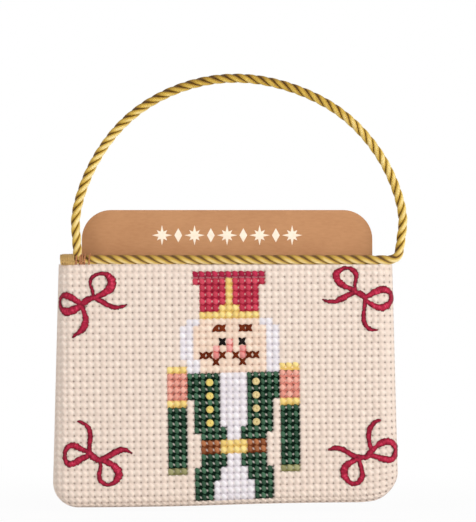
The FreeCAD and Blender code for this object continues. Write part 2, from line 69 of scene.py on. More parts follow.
def on_front(across, down, lift):
    """The place on the pouch's front of a point of its cloth, raised by a lift. All are in millimetres."""
    flat_x = max(-FLAT_HALF, min(FLAT_HALF, across))
    flat_down = min(FLAT_DROP, down)
    reach = math.hypot(across - flat_x, down - flat_down)
    corner = min(reach, FLAT_CORNER)
    turn = min((reach - corner) / TURN_MIDDLE, math.pi / 2)
    radius = TURN_RADIUS + lift
    share = (corner + radius * math.sin(turn)) / reach if reach else 0
    down = flat_down + (down - flat_down) * share
    x = CENTRE_X + (flat_x + (across - flat_x) * share) * flared(down)
    y = TURN_CENTRE_Y - radius * math.cos(turn)
    low = down / POUCH_HEIGHT
    rise = low * BOTTOM_RISE * math.tanh(x / RISE_SPAN)
    rise += low ** 4 * CORNER_RISE * max((x - CORNER_FROM) / CORNER_SPAN, 0) ** 2
    z = MOUTH_Z - down * FALL + rise
    return Vector((x, y, z)) * MM


def past_flat(across, down):
    """How far a point of the cloth lies past the flat middle, in the turn at its edge."""
    return math.hypot(max(abs(across) - FLAT_HALF, 0), max(down - FLAT_DROP, 0)) - FLAT_CORNER


EDGE_LIFT, EDGE_EASE, EDGE_RATE = 0.95, 0.85, 1.4


def on_stitching(across, down, lift):
    """The same for the canvas and its stitches, whose relief eases off where the cloth turns."""
    turn = past_flat(across, down) / TURN_MIDDLE / (math.pi / 2)
    return on_front(across, down, lift + (EDGE_LIFT - lift) * EDGE_EASE * max(0, min(turn * EDGE_RATE, 1)))


STITCH_WIDTH, STITCH_HEIGHT = 1.945, 1.984
MIDDLE_X, LEAN, LEAN_FROM = 0.9, 0.0110, 7.5
TILT, FIRST_ROW = 0.0105, -0.11


def on_cloth(column, row):
    """The place on the cloth, across and down, of a point counted in stitches. Its rows lie askew."""
    down = row * STITCH_HEIGHT
    across = MIDDLE_X + column * STITCH_WIDTH + LEAN * (down - LEAN_FROM)
    down = down + FIRST_ROW - TILT * across
    return across / flared(down), down


# Each thread's blocks in the toy soldier's chart, as first and last column, then first and last row
CHART = [
    ("face", [(-4, 4, 8, 8), (-5, 5, 9, 13), (-4, 5, 14, 15)]),
    ("white", [
        (-6, -5, 8, 8), (-7, -6, 9, 13), (-6, -5, 14, 15),
        (5, 6, 8, 8), (6, 7, 9, 13), (6, 7, 14, 15),
        (-1, 2, 16, 23), (0, 1, 24, 25),
        (0, 1, 28, 29), (-1, 2, 30, 31), (-2, 3, 32, 34),
    ]),
    ("red", [(-5, 5, 2, 2), (-4, 4, 3, 6)]),
    ("dark_red", [(-5, 5, 1, 1)]),
    ("green", [
        (-6, -2, 16, 19), (-5, -2, 20, 23), (-5, -1, 24, 24), (-4, -1, 25, 25),
        (3, 7, 16, 19), (3, 6, 20, 23), (2, 6, 24, 24), (2, 5, 25, 25),
        (-9, -7, 21, 29), (8, 10, 21, 29),
        (-4, -1, 28, 29), (-5, -2, 30, 31), (-5, -3, 32, 34),
        (2, 5, 28, 29), (3, 6, 30, 31), (4, 6, 32, 34),
    ]),
    ("salmon", [(-9, -7, 16, 19), (8, 10, 16, 19)]),
    ("gold", [
        (0, 0, 2, 5), (-1, 1, 6, 6), (-4, 4, 7, 7),
        (-9, -7, 15, 15), (8, 10, 15, 15), (-9, -7, 20, 20), (8, 10, 20, 20),
        (-1, 2, 26, 27),
    ]),
    ("olive", [(-9, -7, 30, 30), (8, 10, 30, 30)]),
    ("rust", [(-4, -2, 26, 27), (3, 5, 26, 27)]),
    ("pink", [(0, 0, 11, 12), (-2, -2, 12, 13), (2, 2, 12, 13)]),
]
chart = {}
for thread, blocks in CHART:
    for first_column, last_column, first_row, last_row in blocks:
        for column in range(first_column, last_column + 1):
            for row in range(first_row, last_row + 1):
                chart[column, row] = thread


def dyed(red, green, blue):
    """A colour as a screen shows it, 0 to 255, turned into light."""
    light = []
    for level in (red, green, blue):
        share = level / 255
        light.append(share / 12.92 if share <= 0.04045 else ((share + 0.055) / 1.055) ** 2.4)
    return (*light, 1.0)


# Each thread's colours: painted shade down in its holes, then its tones in its hollows and on its crowns
DYES = {
    "cream": (dyed(84, 60, 44), dyed(226, 207, 193), dyed(241, 224, 210)),
    "face": (dyed(116, 68, 50), dyed(228, 200, 179), dyed(247, 226, 207)),
    "white": (dyed(104, 94, 104), dyed(219, 211, 216), dyed(243, 239, 242)),
    "red": (dyed(90, 16, 38), dyed(164, 34, 56), dyed(220, 84, 103)),
    "dark_red": (dyed(70, 6, 30), dyed(134, 16, 46), dyed(200, 56, 86)),
    "green": (dyed(10, 20, 14), dyed(8, 30, 19), dyed(82, 122, 95)),
    "salmon": (dyed(64, 2, 6), dyed(216, 132, 116), dyed(246, 186, 168)),
    "gold": (dyed(156, 110, 40), dyed(226, 188, 104), dyed(252, 230, 152)),
    "olive": (dyed(92, 88, 58), dyed(120, 118, 74), dyed(172, 170, 124)),
    "rust": (dyed(52, 20, 12), dyed(110, 54, 28), dyed(190, 124, 84)),
    "pink": (dyed(140, 60, 56), dyed(216, 110, 104), dyed(246, 190, 184)),
    "brown": (dyed(44, 10, 4), dyed(80, 26, 10), dyed(132, 56, 26)),
    "black": (dyed(6, 4, 4), dyed(10, 8, 8), dyed(34, 28, 26)),
}
# The bare cloth and how much of it shows beside a stitch, then the pink line below the hat's first row
BARE_CLOTH = dyed(246, 238, 228)
PLAIN_PEEP, PEEP = 0.6, {"red": 0.72, "dark_red": 0.4, "green": 0.75, "rust": 0.75}
PARTED_ROW, PARTING = 2, dyed(176, 104, 112)


class Wire:
    """An output of a material's nodes. A sum on it adds a Math node, and node adds any other kind."""

    def __init__(self, tree, socket=None):
        self.tree = tree
        self.socket = socket

    def node(self, kind, settings, inputs, output=0):
        made = self.tree.nodes.new(kind)
        for name, setting in settings.items():
            if name == "stops":
                stops = made.color_ramp.elements
                while len(stops) < len(setting):
                    stops.new(1.0)
                for stop, (place, colour) in zip(stops, setting):
                    stop.position = place
                    stop.color = colour
            else:
                setattr(made, name, setting)
        for name, given in inputs.items():
            if isinstance(given, Wire):
                self.tree.links.new(given.socket, made.inputs[name])
            else:
                made.inputs[name].default_value = given
        return Wire(self.tree, made.outputs[output] if made.outputs else None)

    def maths(self, operation, first, second):
        return self.node("ShaderNodeMath", {"operation": operation}, {0: first, 1: second})

    def __add__(self, other):
        return self.maths("ADD", self, other)

    def __sub__(self, other):
        return self.maths("SUBTRACT", self, other)

    def __rsub__(self, other):
        return self.maths("SUBTRACT", other, self)

    def __mul__(self, other):
        return self.maths("MULTIPLY", self, other)

    __radd__ = __add__
    __rmul__ = __mul__

    def mix(self, first, second):
        """A colour between two, by this value."""
        return self.node("ShaderNodeMix", {"data_type": "RGBA"}, {0: self, 6: first, 7: second}, 2)


def new_finish(name):
    """An empty material, and a wire to start its nodes from."""
    material = bpy.data.materials.new(name)
    material.use_nodes = True
    material.node_tree.nodes.clear()
    return material, Wire(material.node_tree)


def coat(start, height, depth, inputs):
    """End a material in one shader, with a height in metres as its bump."""
    if height is not None:
        normal = start.node("ShaderNodeBump", {}, {"Height": height, "Distance": depth, "Strength": 1.0})
        inputs = {**inputs, "Normal": normal}
    shader = start.node("ShaderNodeBsdfPrincipled", {}, inputs)
    start.node("ShaderNodeOutputMaterial", {}, {"Surface": shader})


def carry(mesh, name, numbers):
    """Give every point of a mesh a number of its own."""
    mesh.attributes.new(name, "FLOAT", "POINT").data.foreach_set("value", numbers)


def carried(start, name):
    """The numbers that the points of a mesh carry, for its material."""
    return start.node("ShaderNodeAttribute", {"attribute_name": name}, {}, "Fac")


def mottled(start, scale, detail, **more):
    """A noise that is fixed to its piece."""
    place = start.node("ShaderNodeTexCoord", {}, {}, "Object")
    return start.node("ShaderNodeTexNoise", {}, {"Vector": place, "Scale": scale, "Detail": detail, **more})


def drawn_out(place, stretch, scale, detail, turn=0.0):
    """A noise that is drawn out in one direction, as fibres are."""
    drawn = place.node("ShaderNodeMapping", {}, {
        "Vector": place, "Rotation": (0.0, 0.0, turn), "Scale": stretch,
    })
    return place.node("ShaderNodeTexNoise", {}, {"Vector": drawn, "Scale": scale, "Detail": detail})


def eased(value, low, high, first, last):
    """A wire that eases from its first to its last value while another runs from low to high."""
    return value.node("ShaderNodeMapRange", {"interpolation_type": "SMOOTHSTEP"}, {
        "Value": value, "From Min": low, "From Max": high, "To Min": first, "To Max": last,
    })


def cloth_grid(name, columns, rows, place):
    """A grid of cloth, each of its points set by its shares across and down."""
    bpy.ops.mesh.primitive_grid_add(x_subdivisions=columns, y_subdivisions=rows, size=2)
    cloth = bpy.context.object
    cloth.name = name
    for vertex in cloth.data.vertices:
        vertex.co = place((vertex.co.x + 1) / 2, (1 - vertex.co.y) / 2)
    bpy.ops.object.shade_smooth()
    return cloth


def pick(*pieces):
    """Select these pieces alone, with the first one active."""
    bpy.ops.object.select_all(action="DESELECT")
    for piece in pieces:
        piece.select_set(True)
    bpy.context.view_layer.objects.active = pieces[0]


def edit_all(piece, operator, **settings):
    """Run an operator of edit mode on the whole of a piece."""
    pick(piece)
    bpy.ops.object.mode_set(mode="EDIT")
    bpy.ops.mesh.select_all(action="SELECT")
    operator(**settings)
    bpy.ops.object.mode_set(mode="OBJECT")


def thicken(cloth, thickness):
    """Give a sheet its thickness, on the side away from its face."""
    pick(cloth)
    bpy.ops.object.modifier_add(type="SOLIDIFY")
    cloth.modifiers[-1].thickness = thickness * MM
    cloth.modifiers[-1].offset = -1
    bpy.ops.object.modifier_apply(modifier=cloth.modifiers[-1].name)


CANVAS_PUFF, PALE_PUFF, HOLE_SIZE, PEEP_DIP = 0.42, 0.53, 0.34, 0.16
HOLE_MEAN, HOLE_UNEVEN, HOLE_SPREAD, HOLE_RIM = 0.84, 0.4, 0.9, 0.08
LEFT_CLOSED, LEAST_OPEN, TIGHT_ROWS, TIGHT_OPEN = 1.3, 0.2, 1.6, 0.55
CELLS_WIDE, CELLS_HIGH, CELLS_ABOVE, CELL_STEPS, BESIDE = 58, 40, 1.5, 4, 0.1
STEPS_WIDE, STEPS_HIGH = CELLS_WIDE * CELL_STEPS, CELLS_HIGH * CELL_STEPS
CORNER_CUT = 10


def flat_place(across, down):
    """A point of the canvas laid flat, by its shares across and down."""
    column = (across - 0.5) * CELLS_WIDE
    row = down * CELLS_HIGH - CELLS_ABOVE
    across, down = on_cloth(column, row)
    return Vector((across, -down, 0))


def hole_open(across, down):
    """How far a hole stands open, which sets how much painted shade it shows: less by the cord, and least
    where the cloth turns at the left.
    """
    turn = max(-across - FLAT_HALF - FLAT_CORNER, 0) / TURN_MIDDLE
    tightness = 1 if down > TIGHT_ROWS * STITCH_HEIGHT else TIGHT_OPEN
    return max(1 - turn * LEFT_CLOSED, LEAST_OPEN) * tightness


canvas = cloth_grid("front_canvas_cloth", STEPS_WIDE, STEPS_HIGH, flat_place)
canvas.data.attributes.new("specks", "FLOAT_COLOR", "POINT")
canvas.data.attributes.new("puff", "FLOAT", "POINT")
specks = canvas.data.attributes["specks"].data
puffs = canvas.data.attributes["puff"].data
for index in range(len(canvas.data.vertices)):
    column = index % (STEPS_WIDE + 1) / CELL_STEPS - CELLS_WIDE / 2
    row = CELLS_HIGH - CELLS_ABOVE - index // (STEPS_WIDE + 1) / CELL_STEPS
    around = [
        chart.get((math.floor(column + 0.5 + side), math.floor(row + end)), "cream")
        for side in (-BESIDE, BESIDE)
        for end in (-BESIDE, BESIDE)
    ]
    thread = max(around, key=around.count)
    hole, hollow = DYES[thread][:2]
    at_side = column % 1 == 0.5 and row % 1 == 0.5
    depth = math.hypot(column % 1 - 0.5, (row + 0.5) % 1 - 0.5)
    if row == PARTED_ROW and "red" in thread and depth:
        specks[index].color = PARTING
    # Painted shade: a hole between the stitches is coloured dark, unevenly, and less where it stands less
    # open.
    elif depth < HOLE_SIZE:
        uneven = HOLE_MEAN + HOLE_UNEVEN * noise.noise(Vector((column, row, 0)) * HOLE_SPREAD)
        opened = hole_open(*on_cloth(column, row)) * min(uneven, 1) * (HOLE_RIM if depth else 1)
        specks[index].color = Vector(hollow).lerp(hole, opened)
    elif at_side:
        specks[index].color = Vector(hollow).lerp(BARE_CLOTH, PEEP.get(thread, PLAIN_PEEP))
    else:
        specks[index].color = hollow
    if thread in ("cream", "white", "face"):
        puffs[index].value = PALE_PUFF * min(depth / HOLE_SIZE, 1)
    else:
        puffs[index].value = CANVAS_PUFF * min(depth / HOLE_SIZE, 1) - (PEEP_DIP if at_side else 0)
cuts = [((0, 0, 0), (0, 1, 0))]
for side in (-1, 1):
    corner = Vector((side * FLAT_HALF, -FLAT_DROP, 0))
    for angle in range(0, 91, CORNER_CUT):
        outward = Vector((side * math.cos(math.radians(angle)), -math.sin(math.radians(angle)), 0))
        cuts.append((corner + outward * (SEAM_REACH - FLAT_HALF), outward))
bpy.ops.object.mode_set(mode="EDIT")
for edge, outward in cuts:
    bpy.ops.mesh.select_all(action="SELECT")
    bpy.ops.mesh.bisect(plane_co=edge, plane_no=outward, clear_outer=True)
bpy.ops.object.mode_set(mode="OBJECT")
for vertex, puff in zip(canvas.data.vertices, canvas.data.attributes["puff"].data):
    vertex.co = on_stitching(vertex.co.x, -vertex.co.y, puff.value)
edit_all(canvas, bpy.ops.mesh.quads_convert_to_tris, quad_method="SHORTEST_DIAGONAL")
thicken(canvas, CANVAS_THICKNESS)

material, start = new_finish("woven_canvas")
# These colours carry the painted shade in the canvas's holes.
colour = start.node("ShaderNodeAttribute", {"attribute_name": "specks"}, {})
weave = mottled(start, 3000.0, 2.0)
coat(start, weave, 0.00008, {"Base Color": colour, "Roughness": 0.95, "Specular IOR Level": 0.06})
canvas.data.materials.append(material)
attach(canvas, "pouch")
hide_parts("front_canvas")

# The stitches: cotton thread in full crosses, one leg laid over the other, each end pulled down through the
# canvas. Every thread colour is one piece, and the cream ground fills what the figure leaves.
LEG_WIDTH, LEG_THICKNESS, LEG_REACH, LEG_FULL, LEG_SIDES = 0.36, 0.14, 0.63, 0.10, 6
OVER_LEG, UNDER_LEG, LEG_DIP = 0.46, 0.34, 0.5
BROW_WIDTH, BROW_REACH, EYE_WIDTH, EYE_REACH, LAID_OVER = 0.33, 0.72, 0.31, 0.76, 0.22
LIP_WIDTH, LIP_REACH, SHORT_LEG = 0.265, 0.74, 0.15
THREAD_LOOSE, LEAST_FULL, MOST_FULL, LIP_TINT = 0.03, 0.92, 1.06, 0.3
STITCH_HIGH, PLAIN_WIDE = 1.04, 0.97
STITCH_WIDE = {"green": 0.79, "rust": 0.86, "red": 0.93, "dark_red": 0.93, "salmon": 0.94}
HAT_PARTING = {1: -0.04, 2: 0.05}
SLEEVE_COLUMN, SLEEVE_RISE = 8, {15: -0.42, 16: -0.2, 17: -0.08}
PINK_TINTS = {(0, 11): 1.0, (0, 12): 0.5, (-2, 12): 0.8, (-2, 13): 0.0, (2, 12): 0.3, (2, 13): 0.15}
LAST_TURN = 1.47
# Where along a leg, from its middle, the painted shade at its tip begins, and over how long it deepens
PLAIN_TIP_SHADE, TIP_SHADE_LENGTH = 0.17, 0.22
TIP_SHADE_FROM = {"cream": 0.2, "white": 0.2, "face": 0.22, "brown": 0.26, "black": 0.3, "pink": 0.24, "salmon": 0.14}


def joined(name, pieces):
    """Several meshes made one piece."""
    pick(*pieces)
    bpy.ops.object.join()
    pieces[0].name = name
    return pieces[0]


def make_cross(name, width, reach, lift, whole=True):
    """One cross in a cell of unit size, its height in millimetres. The upper leg falls to the right, and a
    three-quarter cross has only its lower half."""
    legs = []
    for slant, height in ((-1, UNDER_LEG), (1, OVER_LEG)):
        bpy.ops.mesh.primitive_uv_sphere_add(
            segments=LEG_SIDES, ring_count=LEG_SIDES, radius=1,
            scale=(width, LEG_THICKNESS, reach), rotation=(math.pi / 2, 0, slant * math.pi / 4),
        )
        bpy.ops.object.transform_apply()
        leg = bpy.context.object
        for vertex in leg.data.vertices:
            along = (vertex.co.x - slant * vertex.co.y) / math.sqrt(2)
            across = (vertex.co.x + slant * vertex.co.y) / math.sqrt(2) * (1 + LEG_FULL * (1 - abs(along)))
            if not whole and slant > 0 > along:
                along *= SHORT_LEG
            vertex.co.x = (along + across) / math.sqrt(2)
            vertex.co.y = slant * (across - along) / math.sqrt(2)
            vertex.co.z = vertex.co.z * STITCH_WIDTH + height + lift - LEG_DIP * (along / reach) ** 4
        legs.append(leg)
    return joined(name, legs)


def pulled(thread, column, row):
    """How many rows a stitch stands off its cell: the hat's rim is parted, and a sleeve rides up."""
    if "red" in thread:
        return HAT_PARTING.get(row, 0)
    if thread != "cream" and column >= SLEEVE_COLUMN:
        return SLEEVE_RISE.get(row, 0)
    return 0


def seated(column, row):
    """Whether a cell lies on the front, short of the seam."""
    across, down = on_cloth(column, row + 0.5)
    return down > 0 and past_flat(across, down) < TURN_MIDDLE * LAST_TURN


def placed(name, shape):
    """A new piece with this mesh or curve."""
    piece = bpy.data.objects.new(name, shape)
    bpy.context.scene.collection.objects.link(piece)
    pick(piece)
    return piece


def sew(name, thread, laid, seed):
    """Copies of modelled stitches, laid in cells of the canvas as one piece."""
    draw = random.Random(seed)
    points, faces, tints, openings, wrap_places = [], [], [], [], []
    for column, row, shape in [(*cell, pattern.data) for cells, pattern in laid for cell in cells]:
        shift_x = draw.uniform(-THREAD_LOOSE, THREAD_LOOSE)
        shift_y = draw.uniform(-THREAD_LOOSE, THREAD_LOOSE) + pulled(thread, column, row)
        fullness = draw.uniform(LEAST_FULL, MOST_FULL)
        tint = draw.random()
        if thread == "pink":
            tint = PINK_TINTS[column, row]
        if (column, row) in LIP_CELLS:
            tint *= LIP_TINT
        base = len(points)
        for vertex in shape.vertices:
            across, down = on_cloth(
                column + vertex.co.x * STITCH_WIDE.get(thread, PLAIN_WIDE) + shift_x,
                row + 0.5 - vertex.co.y * STITCH_HIGH + shift_y,
            )
            points.append(on_stitching(across, max(down, 0), vertex.co.z * fullness))
            tints.append(tint)
            openings.append(hole_open(across, down))
        faces.extend([tuple(base + index for index in face.vertices) for face in shape.polygons])
        for loop in shape.uv_layers.active.data:
            wrap_places.extend(loop.uv)
    mesh = bpy.data.meshes.new(name)
    mesh.from_pydata(points, [], faces)
    mesh.uv_layers.new(name="UVMap").data.foreach_set("uv", wrap_places)
    carry(mesh, "tint", tints)
    carry(mesh, "opened", openings)
    mesh.shade_smooth()
    return placed(name, mesh)


def thread_finish(name, tip_shade_from, hole, hollow, crown):
    """Stranded cotton: fibres along the thread, a tone lighter or darker from one stitch to the next, and
    painted shade at each leg's tip.
    """
    material, start = new_finish(name)
    wrap = start.node("ShaderNodeUVMap", {"uv_map": "UVMap"}, {})
    fibres = drawn_out(wrap, (14.0, 1.2, 1.0), 3.0, 2.0)
    along = start.node("ShaderNodeSeparateXYZ", {}, {"Vector": wrap}, "Y")
    tip = start.node("ShaderNodeMath", {"operation": "ABSOLUTE"}, {0: along - 0.5})
    # Painted shade: each leg's tip darkens towards its hole's colour, as far as the hole stands open.
    tip_shade = eased(tip, tip_shade_from, tip_shade_from + TIP_SHADE_LENGTH, 0.0, 1.0) * carried(start, "opened")
    body = (carried(start, "tint") * 0.6 + fibres * 0.6).mix(hollow, crown)
    coat(start, fibres, 0.00012, {
        "Base Color": tip_shade.mix(body, hole), "Roughness": 0.75, "Specular IOR Level": 0.06,
    })
    return material


FIRST_COLUMN, LAST_COLUMN, LAST_ROW = -28, 28, 38
full_cross = make_cross("full_cross", LEG_WIDTH, LEG_REACH, 0)
brow_cross = make_cross("brow_cross", BROW_WIDTH, BROW_REACH, LAID_OVER)
slant_brow = make_cross("slant_brow", BROW_WIDTH, BROW_REACH, LAID_OVER, whole=False)
lip_cross = make_cross("lip_cross", LIP_WIDTH, LIP_REACH, LAID_OVER)
eye_cross = make_cross("eye_cross", EYE_WIDTH, EYE_REACH, LAID_OVER)
BROW_CELLS, SLANT_CELLS = [(-1, 9), (2, 9), (3, 9)], [(-2, 9)]
LIP_CELLS = [(-4, 13), (-3, 13), (-1, 13), (1, 13), (3, 13), (4, 13), (-2, 14), (2, 14)]
EYE_CELLS = [(-1, 11), (2, 11)]
ground = [
    (column, row)
    for row in range(LAST_ROW + 1)
    for column in range(FIRST_COLUMN, LAST_COLUMN + 1)
    if seated(column, row) and (column, row) not in chart
]
for seed, thread in enumerate(DYES):
    if thread == "cream":
        laid = [(ground, full_cross)]
    elif thread == "brown":
        laid = [(SLANT_CELLS, slant_brow), (BROW_CELLS, brow_cross), (LIP_CELLS, lip_cross)]
    elif thread == "black":
        laid = [(EYE_CELLS, eye_cross)]
    else:
        laid = [([cell for cell in chart if chart[cell] == thread], full_cross)]
    piece = sew(f"{thread}_cross_stitches", thread, laid, seed)
    tip_shade_from = TIP_SHADE_FROM.get(thread, PLAIN_TIP_SHADE)
    piece.data.materials.append(thread_finish(f"{thread}_cotton", tip_shade_from, *DYES[thread]))
    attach(piece, "pouch")
    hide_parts(f"{thread}_stitches")
for pattern in (full_cross, brow_cross, slant_brow, lip_cross, eye_cross):
    bpy.data.objects.remove(pattern)

# The soldier's buttons: French knots, gold thread wound twice round the needle and pulled down tight on top
# of the green stitches.
KNOT_RADIUS, KNOT_THREAD, KNOT_LIFT = 0.55, 0.55, 0.95
BUTTON_COLUMNS, BUTTON_ROWS = {-3: 1.0, 4: 0.35}, (17, 19, 21, 23)
knots = []
for column, brightness in BUTTON_COLUMNS.items():
    for row in BUTTON_ROWS:
        bpy.ops.mesh.primitive_torus_add(
            major_segments=18, minor_segments=10,
            major_radius=KNOT_RADIUS * MM, minor_radius=KNOT_THREAD * MM,
            location=on_front(*on_cloth(column, row + 0.5), KNOT_LIFT), rotation=(math.pi / 2, 0, 0),
        )
        bpy.ops.object.transform_apply()
        bpy.ops.object.shade_smooth()
        knot = bpy.context.object
        carry(knot.data, "tint", [brightness] * len(knot.data.vertices))
        knots.append(knot)
buttons = joined("button_knots", knots)
material, start = new_finish("button_cotton")
fibres = mottled(start, 2200.0, 3.0)
dull = fibres.mix(dyed(172, 148, 100), dyed(240, 224, 186))
bright = fibres.mix(dyed(196, 162, 66), dyed(252, 234, 142))
coat(start, fibres, 0.0003, {
    "Base Color": carried(start, "tint").mix(dull, bright), "Roughness": 0.7, "Specular IOR Level": 0.2,
})
buttons.data.materials.append(material)
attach(buttons, "pouch")

# The bows: crimson cotton in satin stitch over the ground, one in each corner. Each is worked by hand and
# so a little different, broad where the ribbon faces the eye and narrow where it turns.

# A bow has its drawing's left and top, the size of a square of the drawing, then its ribbons' points as
# squares across, squares down and half the width
BOWS = {
    "bow_top_left": (-51.07, -52.92, 0.02739, [
        [(448, 385, 18), (442, 335, 18), (426, 290, 18), (408, 235, 18), (418, 172, 20), (468, 133, 19),
         (542, 118, 19), (610, 142, 30), (645, 205, 46), (632, 278, 46), (566, 330, 36), (505, 360, 26),
         (440, 388, 20)],
        [(318, 452, 24), (262, 412, 28), (200, 372, 38), (138, 352, 36), (92, 378, 20), (80, 430, 10),
         (88, 492, 20), (145, 536, 44), (220, 520, 42), (280, 486, 32), (325, 455, 24)],
        [(312, 465, 26), (340, 435, 34), (385, 400, 34), (425, 382, 27), (475, 372, 22)],
        [(455, 385, 20), (520, 415, 25), (580, 450, 28), (640, 480, 26), (700, 488, 22), (755, 476, 17),
         (805, 457, 7)],
        [(322, 470, 26), (340, 535, 25), (366, 600, 30), (356, 665, 38), (325, 725, 34), (280, 765, 20),
         (240, 785, 15), (220, 812, 9)],
    ]),
    "bow_top_right": (29.35, -52.33, 0.02609, [
        [(340, 352, 22), (250, 312, 25), (165, 272, 34), (112, 212, 36), (112, 150, 38), (165, 104, 26),
         (230, 80, 15), (295, 106, 28), (338, 150, 28), (338, 200, 22), (325, 250, 20), (318, 300, 18),
         (335, 350, 20)],
        [(290, 345, 24), (370, 372, 34), (430, 410, 32), (455, 445, 28)],
        [(440, 425, 24), (500, 385, 30), (570, 345, 38), (640, 326, 38), (705, 345, 30), (742, 400, 22),
         (732, 465, 25), (685, 515, 38), (620, 540, 38), (550, 522, 32), (490, 485, 28), (445, 455, 24)],
        [(330, 360, 20), (260, 385, 28), (200, 420, 34), (150, 450, 31), (90, 470, 25), (30, 467, 20),
         (-8, 458, 15), (-45, 445, 7)],
        [(438, 440, 22), (428, 540, 20), (418, 620, 24), (422, 695, 26), (458, 755, 22), (512, 790, 19),
         (578, 786, 8)],
    ]),
    "bow_bottom_left": (-49.90, -96.94, 0.02609, [
        [(382, 450, 24), (376, 390, 20), (384, 330, 28), (388, 270, 28), (382, 208, 26), (362, 166, 24),
         (320, 132, 20), (270, 104, 18), (240, 96, 9)],
        [(375, 450, 24), (300, 425, 26), (245, 390, 34), (190, 368, 36), (125, 392, 26), (98, 450, 22),
         (98, 540, 24), (145, 592, 30), (212, 574, 36), (272, 528, 35), (330, 508, 28), (380, 480, 24)],
        [(365, 440, 28), (392, 475, 36), (430, 510, 36), (470, 538, 29), (515, 548, 22)],
        [(480, 540, 24), (560, 510, 30), (620, 480, 32), (680, 443, 34), (742, 414, 30), (802, 428, 22),
         (862, 464, 8)],
        [(495, 545, 20), (504, 590, 18), (500, 650, 22), (480, 712, 26), (498, 770, 27), (550, 812, 22),
         (612, 816, 20), (668, 782, 28), (708, 722, 40), (704, 665, 42), (662, 606, 36), (590, 568, 32),
         (515, 540, 24)],
    ]),
    "bow_bottom_right": (28.18, -96.36, 0.02805, [
        [(515, 420, 24), (495, 350, 22), (488, 290, 25), (488, 230, 25), (504, 178, 28), (535, 138, 22),
         (575, 108, 21), (612, 102, 9)],
        [(515, 425, 24), (570, 376, 25), (620, 338, 34), (682, 320, 35), (742, 342, 30), (774, 400, 25),
         (772, 462, 26), (740, 520, 31), (670, 520, 34), (600, 496, 28), (540, 480, 25), (485, 470, 22)],
        [(540, 390, 25), (515, 430, 32), (490, 465, 35), (460, 494, 28), (400, 497, 22)],
        [(470, 497, 22), (390, 492, 24), (320, 476, 26), (265, 440, 26), (215, 408, 25), (160, 392, 26),
         (110, 398, 23), (62, 418, 9)],
        [(400, 500, 22), (310, 538, 26), (246, 580, 38), (224, 640, 38), (240, 704, 32), (288, 756, 26),
         (338, 776, 24), (396, 745, 26), (422, 690, 28), (420, 640, 24), (402, 580, 22), (385, 510, 20)],
    ]),
}
BOW_SIDES, BOW_STEPS, BOW_LIFT, BOW_EDGE_LIFT, BOW_FULLNESS = 8, 12, 0.66, 0.4, 0.5
BROAD, NARROW_SHADE, BOW_BROADER = 1.0, 0.7, 1.1
SATIN_STEP, BOW_RIPPLE, RAG_SIZE, BOW_RAGGED, RAG_SEED = 0.35, 0.2, 0.75, 0.24, 2


def front_y(x, z):
    """The depth of a bow's middle on the pouch's front, at a place seen from the front."""
    down = (MOUTH_Z - z) / FALL
    rim = max(past_flat((x - CENTRE_X) / flared(down), down), 0)
    radius = TURN_RADIUS + BOW_LIFT + BOW_EDGE_LIFT * min(rim / TURN_RADIUS, 1)
    return TURN_CENTRE_Y - math.sqrt(max(radius ** 2 - rim ** 2, 0))


def draw_lines(name, kind, lines):
    """A curve with a spline for each line, whose points have an x, a y, a z and a radius."""
    drawing = bpy.data.curves.new(name, "CURVE")
    drawing.dimensions = "3D"
    drawing.use_fill_caps = True
    for line in lines:
        spline = drawing.splines.new(kind)
        spline.points.add(len(line) - 1)
        for point, (x, y, z, radius) in zip(spline.points, line):
            point.co = (x, y, z, 1)
            point.radius = radius
        spline.use_endpoint_u = True
        spline.order_u = 3
    return drawing


def face_outward(piece):
    """Turn the faces of a closed shape outwards."""
    edit_all(piece, bpy.ops.mesh.normals_make_consistent, inside=False)


material, start = new_finish("crimson_satin_stitch")
wrap = start.node("ShaderNodeUVMap", {"uv_map": "UVMap"}, {})
strands = drawn_out(wrap, (70.0, 3.0, 1.0), 1.0, 2.0)
